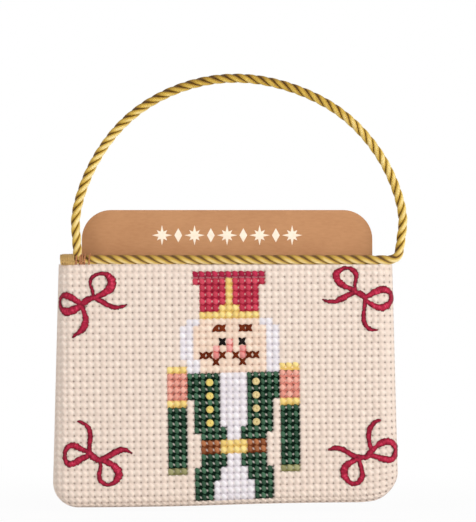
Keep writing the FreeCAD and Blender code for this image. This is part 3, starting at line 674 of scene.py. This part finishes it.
# Painted light and shade: the ribbon is lighter where it faces the front, darker at its sides and darker
# still where narrow.
share = carried(start, "crest") * 0.75 + (strands + mottled(start, 1100.0, 2.0)) * 1.1 - 1.1
colour = start.node("ShaderNodeValToRGB", {"stops": [
    (0.0, dyed(84, 4, 26)), (0.4, dyed(138, 14, 44)), (0.75, dyed(178, 30, 62)), (1.0, dyed(210, 62, 94)),
]}, {"Fac": share})
coat(start, strands, 0.0003, {"Base Color": colour, "Roughness": 0.6, "Specular IOR Level": 0.2})
noise.seed_set(RAG_SEED)
for node, (left, top, square, ribbons) in BOWS.items():
    drawing = draw_lines(f"{node}_satin", "NURBS", [
        [(left + across * square, 0, top - down * square, half_width * square * BOW_BROADER)
         for across, down, half_width in ribbon]
        for ribbon in ribbons
    ])
    drawing.bevel_depth = 1
    drawing.bevel_resolution = BOW_SIDES // 2 - 2
    drawing.resolution_u = BOW_STEPS
    placed(f"{node}_satin", drawing)
    bpy.ops.object.convert(target="MESH")
    bow = bpy.context.object
    painted_facing_shades = []
    for first in range(0, len(bow.data.vertices), BOW_SIDES):
        ring = bow.data.vertices[first:first + BOW_SIDES]
        middle = sum((vertex.co for vertex in ring), Vector()) / BOW_SIDES
        half = max(abs(vertex.co.y) for vertex in ring)
        thread = noise.noise(middle / SATIN_STEP)
        for vertex in ring:
            # Painted light and shade by how far this point faces the front, less where the ribbon is
            # narrow.
            painted_facing_shades.append(-vertex.co.y / half - NARROW_SHADE * max(1 - half / BROAD, 0))
            place = middle + (vertex.co - middle) * (1 + BOW_RIPPLE * thread)
            rag = noise.noise_vector(place / RAG_SIZE) * BOW_RAGGED
            x, z = place.x + rag.x, place.z + rag.z
            y = front_y(x, z) + place.y * BOW_FULLNESS
            vertex.co = Vector((x, y, z)) * MM
    carry(bow.data, "crest", painted_facing_shades)
    edit_all(bow, bpy.ops.mesh.remove_doubles, threshold=0.001 * MM)
    face_outward(bow)
    bpy.ops.object.shade_smooth()
    bow.data.materials.clear()
    bow.data.materials.append(material)
    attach(bow, "pouch")
    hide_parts(node)

# The linings: plain woven cotton, one behind the canvas and one inside the back, turned in at the mouth and
# sewn into the same seam as the outside.
LINING_LIFT, LINING_THICKNESS, LINING_BELOW, LINING_STEPS = -0.82, 0.36, 0.1, (56, 40)
SEAM_PLANE_Y = 3.8


def on_back(across, down, lift):
    """The place on the back half, which is the front's mirror image across the seam."""
    point = on_front(across, down, lift)
    return Vector((point.x, 2 * SEAM_PLANE_Y * MM - point.y, point.z))


def sewn_sheet(name, steps, side, below, lift, thickness):
    """A sheet of cloth on the front or the back, from a little below the mouth to the seam."""
    def place(across, down):
        return side((2 * across - 1) * SEAM_REACH, below + (SEAM_DROP - below) * down, lift)
    sheet = cloth_grid(name, *steps, place)
    if side is on_back:
        sheet.data.flip_normals()
    thicken(sheet, thickness)
    return sheet


material, start = new_finish("plain_cotton_lining")
place = start.node("ShaderNodeTexCoord", {}, {}, "Object")
warp = start.node("ShaderNodeTexWave", {"bands_direction": "X"}, {"Vector": place, "Scale": 900.0})
weft = start.node("ShaderNodeTexWave", {"bands_direction": "Z"}, {"Vector": place, "Scale": 900.0})
colour = mottled(start, 160.0, 4.0).mix(dyed(214, 196, 172), dyed(240, 226, 204))
coat(start, warp * weft, 0.00004, {"Base Color": colour, "Roughness": 0.9, "Sheen Weight": 0.1})
for node, side in (("front_lining", on_front), ("back_lining", on_back)):
    lining = sewn_sheet(f"{node}_cotton", LINING_STEPS, side, LINING_BELOW, LINING_LIFT, LINING_THICKNESS)
    lining.data.materials.append(material)
    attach(lining, "pouch")
    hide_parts(node)

# The back: one piece of short-pile cotton velvet, turned in at the mouth and sewn to the front round the
# other three sides.
BACK_LIFT, BACK_THICKNESS, BACK_STEPS, MOUTH_ROUND, SHARP = 0.3, 1.1, (80, 56), 0.5, 60


def round_edges(piece, width, segments):
    """Round off the sharp edges of a piece."""
    pick(piece)
    bpy.ops.object.modifier_add(type="BEVEL")
    bevel = piece.modifiers[-1]
    bevel.width = width * MM
    bevel.segments = segments
    bevel.limit_method = "ANGLE"
    bevel.angle_limit = math.radians(SHARP)
    bpy.ops.object.modifier_apply(modifier=bevel.name)


back = sewn_sheet("back_velvet", BACK_STEPS, on_back, 0, BACK_LIFT, BACK_THICKNESS)
round_edges(back, MOUTH_ROUND, 3)
bpy.ops.object.shade_smooth()
material, start = new_finish("red_velvet")
pile = mottled(start, 4200.0, 2.0)
share = mottled(start, 60.0, 4.0, Distortion=0.6) * 0.7 + pile * 0.5 - 0.15
coat(start, pile, 0.0003, {
    "Base Color": share.mix(dyed(74, 8, 20), dyed(142, 22, 42)), "Roughness": 0.85,
    "Sheen Weight": 0.6, "Sheen Roughness": 0.35, "Sheen Tint": dyed(235, 150, 150),
})
back.data.materials.append(material)
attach(back, "pouch")
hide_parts("back_panel")

# The seam: cream sewing thread in short slanted stitches over the edge, round the two sides and the bottom,
# which hold the canvas to the velvet.
SEAM_STEP, SEAM_LENGTH, SEAM_THREAD, SEAM_SLANT = 3.9, 1.15, 0.24, 0.5
SEAM_FIRST, SEAM_LIFT, SEAM_BEHIND, SIDE_STITCHES, HALF_BOTTOM = 3.5, 0.5, 0.3, 17, 11
seam_places = []
for number in range(SIDE_STITCHES):
    for side in (-SEAM_REACH, SEAM_REACH):
        seam_places.append((side, SEAM_FIRST + number * SEAM_STEP, False))
for number in range(-HALF_BOTTOM, HALF_BOTTOM + 1):
    seam_places.append((number * SEAM_STEP, SEAM_DROP, True))
seam_stitches = []
for across, down, along_bottom in seam_places:
    bpy.ops.mesh.primitive_uv_sphere_add(
        segments=8, ring_count=6, radius=1 * MM, scale=(SEAM_THREAD, SEAM_THREAD, SEAM_LENGTH),
        rotation=(math.pi / 2, 0, SEAM_SLANT) if along_bottom else (math.pi / 2 + SEAM_SLANT, 0, 0),
        location=on_front(across, down, SEAM_LIFT) + Vector((0, SEAM_BEHIND * MM, 0)),
    )
    bpy.ops.object.transform_apply()
    bpy.ops.object.shade_smooth()
    seam_stitches.append(bpy.context.object)
seam = joined("seam_overcast_thread", seam_stitches)


def twisted_thread(name, deep, full, fineness, unevenness, roughness):
    """Fine sewing thread: its twist shows as slanted lines."""
    material, start = new_finish(name)
    place = start.node("ShaderNodeTexCoord", {}, {}, "Object")
    twist = start.node("ShaderNodeTexWave", {"bands_direction": "DIAGONAL"}, {
        "Vector": place, "Scale": fineness, "Distortion": unevenness,
    })
    coat(start, twist, 0.00008, {"Base Color": twist.mix(deep, full), "Roughness": roughness})
    return material


cream, pale_cream = dyed(206, 184, 162), dyed(242, 228, 210)
seam.data.materials.append(twisted_thread("cream_sewing_thread", cream, pale_cream, 1500.0, 0.0, 0.7))
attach(seam, "pouch")
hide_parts("side_seam_thread")

# The edge cord: three strands of gold rayon laid up into a cord, sewn along the top of the front. At the
# right it turns up and runs on as the handle.
CORD_Z = -52.2
EDGE_ROUTE = [
    (-48.6, CORD_Z), (-30.0, CORD_Z), (-5.0, CORD_Z), (20.0, CORD_Z), (40.0, CORD_Z), (46.6, CORD_Z - 0.1),
    (49.7, CORD_Z + 0.1), (50.8, -50.2),
]
HANDLE_ROUTE = [
    (51.1, -48.0), (52.4, -38.2), (46.7, -22.8), (35.55, -9.6), (20.6, -1.6), (3.5, 1.8),
    (-13.3, -1.0), (-28.5, -9.5), (-39.0, -22.9), (-44.6, -38.4), (-43.7, -48.0), (-43.6, -51.4),
]
CORD_THICKNESS, CORD_LOFT, STRANDS = 2.7, 1.02, 3
EDGE_LAY, HANDLE_LAY = 11.3, 10.4
STRAND_SHARE, STRAND_FLAT, STRAND_SIDES, CORD_STEP, LINE_STEPS = 0.5, 1.25, 14, 0.32, 24
# Painted shade on the cord: grooves and strand flanks towards the upper left are darker, as light falls
# from the lower right.
SHADED_SIDE, GROOVE_SHADE, FLANK_SHADE = Vector((-0.55, 0, 0.83)), 1.2, 0.1


def cord_line(name, route):
    """Points along the smooth line of a cord, read from its spline, at even steps."""
    drawing = draw_lines(name, "NURBS", [[(x * MM, 0, z * MM, 1) for x, z in route]])
    drawing.resolution_u = LINE_STEPS
    holder = bpy.data.objects.new(name, drawing)
    read = bpy.data.meshes.new_from_object(holder)
    points = [vertex.co.copy() for vertex in read.vertices]
    bpy.data.meshes.remove(read)
    bpy.data.objects.remove(holder)
    bpy.data.curves.remove(drawing)
    runs = [0.0]
    for before, after in zip(points, points[1:]):
        runs.append(runs[-1] + (after - before).length)
    count = max(2, round(runs[-1] / (CORD_STEP * MM)))
    line, index = [], 0
    for number in range(count + 1):
        wanted = runs[-1] * number / count
        while index < len(runs) - 2 and runs[index + 1] < wanted:
            index += 1
        share = (wanted - runs[index]) / (runs[index + 1] - runs[index])
        line.append(points[index].lerp(points[index + 1], share))
    return line


def twist_cord(name, line, first, last, begun, lay):
    """The strands of a stretch of cord, laid up on from the turns begun, and the turns at its end."""
    cord_radius = CORD_THICKNESS * CORD_LOFT / 2 * MM
    strand_radius = cord_radius * STRAND_SHARE
    centre_radius = cord_radius - strand_radius
    points, faces, painted_shades, wraps = [], [], [], []
    for strand in range(STRANDS):
        base = len(points)
        for number in range(first, last + 1):
            middle = line[number]
            before, after = line[max(number - 1, 0)], line[min(number + 1, len(line) - 1)]
            along = (after - before).normalized()
            side = Vector((-along.z, 0, along.x))
            turns = begun + (number - first) * CORD_STEP / lay
            turn = -2 * math.pi * (turns + strand / STRANDS)
            outward = math.cos(turn) * side + math.sin(turn) * Vector((0, 1, 0))
            around = math.cos(turn) * Vector((0, 1, 0)) - math.sin(turn) * side
            for step in range(STRAND_SIDES):
                angle = 2 * math.pi * step / STRAND_SIDES
                pressed = math.cos(angle) * outward + STRAND_FLAT * math.sin(angle) * around
                point = middle + centre_radius * outward + strand_radius * pressed
                points.append(point)
                # The depth carries painted shade: dark deep in the grooves, more so on the upper-left side
                # of the cord and of each strand.
                reach = (point - middle) / cord_radius
                shaded_groove = max(reach.dot(SHADED_SIDE), 0) * (1 - reach.length)
                painted_shades.append(reach.length - GROOVE_SHADE * shaded_groove - FLANK_SHADE * pressed.dot(SHADED_SIDE))
                wraps.append((turns, step / STRAND_SIDES))
        for number in range(last - first):
            for step in range(STRAND_SIDES):
                corner = base + number * STRAND_SIDES + step
                beside = base + number * STRAND_SIDES + (step + 1) % STRAND_SIDES
                faces.append((corner, beside, beside + STRAND_SIDES, corner + STRAND_SIDES))
        end = base + (last - first) * STRAND_SIDES
        faces.append(tuple(base + step for step in reversed(range(STRAND_SIDES))))
        faces.append(tuple(end + step for step in range(STRAND_SIDES)))
    mesh = bpy.data.meshes.new(name)
    mesh.from_pydata(points, [], faces)
    carry(mesh, "depth", painted_shades)
    layer = mesh.uv_layers.new(name="UVMap")
    for loop, place in zip(mesh.loops, layer.data):
        place.uv = wraps[loop.vertex_index]
    mesh.shade_smooth()
    cord = placed(name, mesh)
    face_outward(cord)
    return cord, turns


# Painted shade and highlight: the cord's colour runs from dark deep in its grooves to pale on its strands'
# crowns.
gold_rayon, start = new_finish("gold_rayon_cord")
wrap = start.node("ShaderNodeUVMap", {"uv_map": "UVMap"}, {})
yarns = drawn_out(wrap, (5.0, 18.0, 1.0), 2.0, 2.0, turn=0.25)
place = start.node("ShaderNodeTexCoord", {}, {}, "Object")
height = start.node("ShaderNodeSeparateXYZ", {}, {"Vector": place}, "Z")
# Painted shade: the arch's top is darker.
painted_arch_top_shade = eased(height, -0.016, 0.0, 0.0, 0.22)
# Painted shade along the edge cord: its grooves deeper and the whole darker, then drawn a little towards
# tan.
edge_cord_painted_shade = eased(height, -0.051, -0.046, 0.1, 0.0)
share = (carried(start, "depth") - 0.66) * (edge_cord_painted_shade * 6.0 + 2.3)
share = share + yarns * 0.2 + mottled(start, 220.0, 2.0) * 0.3 - 0.25
colour = start.node("ShaderNodeValToRGB", {"stops": [
    (0.0, dyed(88, 58, 8)), (0.3, dyed(146, 109, 28)),
    (0.65, dyed(204, 168, 70)), (1.0, dyed(252, 233, 172)),
]}, {"Fac": share - painted_arch_top_shade - edge_cord_painted_shade * 2.6})
colour = edge_cord_painted_shade.mix(colour, dyed(186, 148, 112))
coat(start, yarns, 0.00005, {"Base Color": colour, "Roughness": 0.45, "Specular IOR Level": 0.25})

line = cord_line("cord_line", EDGE_ROUTE + HANDLE_ROUTE)
handle_foot = Vector((HANDLE_ROUTE[0][0], 0, HANDLE_ROUTE[0][1])) * MM
turn_up = min(range(len(line)), key=lambda number: (line[number] - handle_foot).length)
edge, turns = twist_cord("edge_cord_strands", line, 0, turn_up, 0, EDGE_LAY)
edge.data.materials.append(gold_rayon)
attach(edge, "pouch")
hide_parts("edge_cord")

# The handle: the same cord, run on from the right corner over the arch and down to the left corner, where
# its end is sewn onto the edge cord.
handle, _ = twist_cord("handle_cord_strands", line, turn_up, len(line) - 1, turns, HANDLE_LAY)
handle.data.materials.append(gold_rayon)
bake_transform(handle)
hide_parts("handle_cord")

# The binding: tan cotton wound tight round the cord's cut end at the left, turn beside turn, so that its
# strands don't fray.
BINDING_START, BINDING_END, BINDING_TURNS, TURN_STEPS = -48.6, -44.5, 8, 24
BINDING_RADIUS, BINDING_THREAD, BINDING_LOOSE = 1.46, 0.29, 0.06
END_ROUND, END_LENGTH = 0.3, 0.35
binding_points = []
for number in range(BINDING_TURNS * TURN_STEPS + 1):
    share = number / (BINDING_TURNS * TURN_STEPS)
    angle = 2 * math.pi * BINDING_TURNS * share
    x = BINDING_START + (BINDING_END - BINDING_START) * share
    radius = BINDING_RADIUS - END_ROUND * math.exp((BINDING_START - x) / END_LENGTH)
    radius += BINDING_LOOSE * noise.noise(Vector((x * 2, angle, 0)))
    binding_points.append((x, radius * math.cos(angle), CORD_Z + radius * math.sin(angle)))


def thread_tube(name, runs, radius):
    """Round threads along runs of points, joined as one piece."""
    drawing = draw_lines(name, "POLY", [[(x * MM, y * MM, z * MM, 1) for x, y, z in run] for run in runs])
    drawing.bevel_depth = radius * MM
    drawing.bevel_resolution = 2
    placed(name, drawing)
    bpy.ops.object.convert(target="MESH")
    bpy.ops.object.shade_smooth()
    return bpy.context.object


binding = thread_tube("cord_end_winding", [binding_points], BINDING_THREAD)
tan, pale_tan = dyed(150, 112, 56), dyed(226, 186, 116)
binding.data.materials.append(twisted_thread("tan_winding_thread", tan, pale_tan, 1300.0, 1.5, 0.6))
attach(binding, "pouch")
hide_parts("cord_end_binding")

# The tacks: reddish brown sewing thread, passed over the cord a few times and pulled tight. They sew the
# handle's left end down.
TACK_PLACES = (-44.0, -42.9, -42.3, -41.6, -40.2)
TACK_RADIUS, TACK_THREAD, TACK_STEPS = 1.53, 0.26, 14
TACK_FROM, TACK_SWEEP, TACK_SLANT = -60, 270, 0.5
tack_runs = []
for x in TACK_PLACES:
    run = []
    for number in range(TACK_STEPS + 1):
        share = number / TACK_STEPS
        angle = math.radians(TACK_FROM + TACK_SWEEP * share)
        y, z = -TACK_RADIUS * math.cos(angle), CORD_Z + TACK_RADIUS * math.sin(angle)
        run.append((x + TACK_SLANT * share, y, z))
    tack_runs.append(run)
tacks = thread_tube("handle_end_tacks", tack_runs, TACK_THREAD)
brown, pale_brown = dyed(124, 66, 36), dyed(222, 152, 98)
tacks.data.materials.append(twisted_thread("brown_tack_thread", brown, pale_brown, 1300.0, 1.5, 0.6))
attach(tacks, "pouch")
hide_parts("cord_tack_thread")

# The card: a blank of uncoated kraft board, die-cut with large round corners. It stands loose in the
# pocket, against the back lining.
CARD_LEFT, CARD_RIGHT, CARD_LOW, CARD_TOP = -42.6, 43.15, -91.4, -37.55
CARD_FRONT, CARD_THICKNESS, CARD_CORNER, CARD_EDGE, CARD_SMOOTH = 5.6, 0.7, 8.6, 0.08, 30
bpy.ops.mesh.primitive_plane_add(size=1, rotation=(math.pi / 2, 0, 0))
bpy.ops.object.transform_apply()
card = bpy.context.object
card.name = "kraft_card"
for vertex in card.data.vertices:
    vertex.co = Vector((
        CARD_LEFT if vertex.co.x < 0 else CARD_RIGHT,
        CARD_FRONT,
        CARD_LOW if vertex.co.z < 0 else CARD_TOP,
    )) * MM
corner = {"offset": CARD_CORNER * MM, "segments": 12, "affect": "VERTICES", "clamp_overlap": False}
edit_all(card, bpy.ops.mesh.bevel, **corner)


def deepen(piece, depth):
    """Give a flat shape its thickness, towards the back."""
    move = {"value": (0, depth * MM, 0)}
    edit_all(piece, bpy.ops.mesh.extrude_region_move, TRANSFORM_OT_translate=move)
    face_outward(piece)


deepen(card, CARD_THICKNESS)
round_edges(card, CARD_EDGE, 2)
bpy.ops.object.shade_smooth_by_angle(angle=math.radians(CARD_SMOOTH))
material, start = new_finish("kraft_board")
place = start.node("ShaderNodeTexCoord", {}, {}, "Object")
flecks = drawn_out(place, (500.0, 500.0, 1800.0), 1.0, 3.0)
share = mottled(start, 90.0, 6.0, Roughness=0.65) * 0.9 + flecks * 0.5 - 0.2
coat(start, flecks, 0.00002, {
    "Base Color": share.mix(dyed(166, 113, 72), dyed(197, 146, 102)), "Roughness": 0.85,
})
card.data.materials.append(material)
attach(card, "card")
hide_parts("gift_card")

# The card's ornament: a row of stars and lozenges in cream ink. It is printed across the part of the card
# that stands out of the pocket.
PRINT_Z, PRINT_STEP, PRINT_LIFT, PRINT_COUNT = -45.0, 4.8, 0.03, 9
STAR_CORNERS, STAR_REACH, STAR_WAIST, STAR_SLANT = 16, 3.0, 1.15, 2.16
LOZENGE_CORNERS, LOZENGE_WIDE, LOZENGE_HIGH = 4, 1.15, 2.1
prints = []
for number in range(PRINT_COUNT):
    star = number % 2 == 0
    x = CARD_LEFT / 2 + CARD_RIGHT / 2 + (number - (PRINT_COUNT - 1) / 2) * PRINT_STEP
    bpy.ops.mesh.primitive_circle_add(
        vertices=STAR_CORNERS if star else LOZENGE_CORNERS, radius=1, fill_type="NGON",
        rotation=(math.pi / 2, 0, 0),
    )
    bpy.ops.object.transform_apply()
    mark = bpy.context.object
    for index, vertex in enumerate(mark.data.vertices):
        wide, high = LOZENGE_WIDE, LOZENGE_HIGH
        if star:
            wide = high = (STAR_REACH, STAR_WAIST, STAR_SLANT, STAR_WAIST)[index % 4]
        x_on_card, z_on_card = x + vertex.co.x * wide, PRINT_Z + vertex.co.z * high
        vertex.co = Vector((x_on_card, CARD_FRONT - PRINT_LIFT, z_on_card)) * MM
    prints.append(mark)
ornament = joined("card_ornament", prints)
deepen(ornament, PRINT_LIFT)
material, start = new_finish("cream_ink")
colour = mottled(start, 900.0, 3.0).mix(dyed(238, 216, 190), dyed(255, 244, 226))
coat(start, None, 0, {"Base Color": colour, "Roughness": 0.7})
ornament.data.materials.append(material)
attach(ornament, "card")

# The studio: a pale floor just under the pouch, a white surround, and soft light from the front, from above
# and from behind. The camera looks straight at the front.
FLOOR_Z = -126.2
bpy.ops.mesh.primitive_plane_add(size=3, location=(0, 0, FLOOR_Z * MM))
floor = bpy.context.object
floor.name = "studio_floor"
material, start = new_finish("pale_floor")
seen = start.node("ShaderNodeLightPath", {}, {}, "Is Camera Ray")
mirrored = start.node("ShaderNodeLightPath", {}, {}, "Is Glossy Ray")
place = start.node("ShaderNodeTexCoord", {}, {}, "Object")
far = start.node("ShaderNodeVectorMath", {"operation": "LENGTH"}, {0: place}, "Value")
fade = eased(far, 0.05, 0.22, 0.94, 1.0)
plain = start.node("ShaderNodeBsdfDiffuse", {}, {"Color": dyed(244, 244, 244)})
lit = start.node("ShaderNodeEmission", {}, {"Color": (1, 1, 1, 1), "Strength": 1.0})
shader = start.node("ShaderNodeMixShader", {}, {0: (seen + mirrored) * fade, 1: plain, 2: lit})
start.node("ShaderNodeOutputMaterial", {}, {"Surface": shader})
floor.data.materials.append(material)

world = bpy.data.worlds.new("white_surround")
bpy.context.scene.world = world
world.use_nodes = True
world.node_tree.nodes.clear()
start = Wire(world.node_tree)
seen = start.node("ShaderNodeLightPath", {}, {}, "Is Camera Ray")
mirrored = start.node("ShaderNodeLightPath", {}, {}, "Is Glossy Ray")
passed = start.node("ShaderNodeLightPath", {}, {}, "Is Transmission Ray")
ambient = start.node("ShaderNodeBackground", {}, {"Color": (1, 1, 1, 1), "Strength": 0.46})
white = start.node("ShaderNodeBackground", {}, {"Color": (1, 1, 1, 1), "Strength": 1.0})
shader = start.node("ShaderNodeMixShader", {}, {0: seen + mirrored + passed, 1: ambient, 2: white})
start.node("ShaderNodeOutputWorld", {}, {"Surface": shader})

LAMPS = [
    ("key_light", (0.75, -0.65, 0.0), 0.5, 8.3),
    ("fill_light", (-0.6, -0.8, -0.05), 0.7, 4.7),
    ("top_light", (0.1, 0.1, 0.9), 0.8, 0.8),
    ("back_light", (-0.3, 0.95, 0.0), 0.8, 4.0),
]
TARGET = Vector((0.0, 0.0, -0.075))
for name, place, size, power in LAMPS:
    bpy.ops.object.light_add(type="AREA", location=place)
    lamp = bpy.context.object
    lamp.name = name
    lamp.data.size = size
    lamp.data.energy = power
    lamp.rotation_euler = (TARGET - Vector(place)).to_track_quat("-Z", "Y").to_euler()

FRAME_HEIGHT, CAMERA_DISTANCE, SENSOR = 0.1532, 1.0, 36
FRAME_CENTRE = Vector((0.0035, 0.0, -0.0526))
camera_place = FRAME_CENTRE + Vector((0, -CAMERA_DISTANCE, 0))
bpy.ops.object.camera_add(location=camera_place, rotation=(math.pi / 2, 0, 0))
camera = bpy.context.object
camera.data.sensor_width = SENSOR
camera.data.lens = SENSOR * CAMERA_DISTANCE / FRAME_HEIGHT
bpy.context.scene.camera = camera
bpy.context.scene.view_settings.view_transform = "Standard"
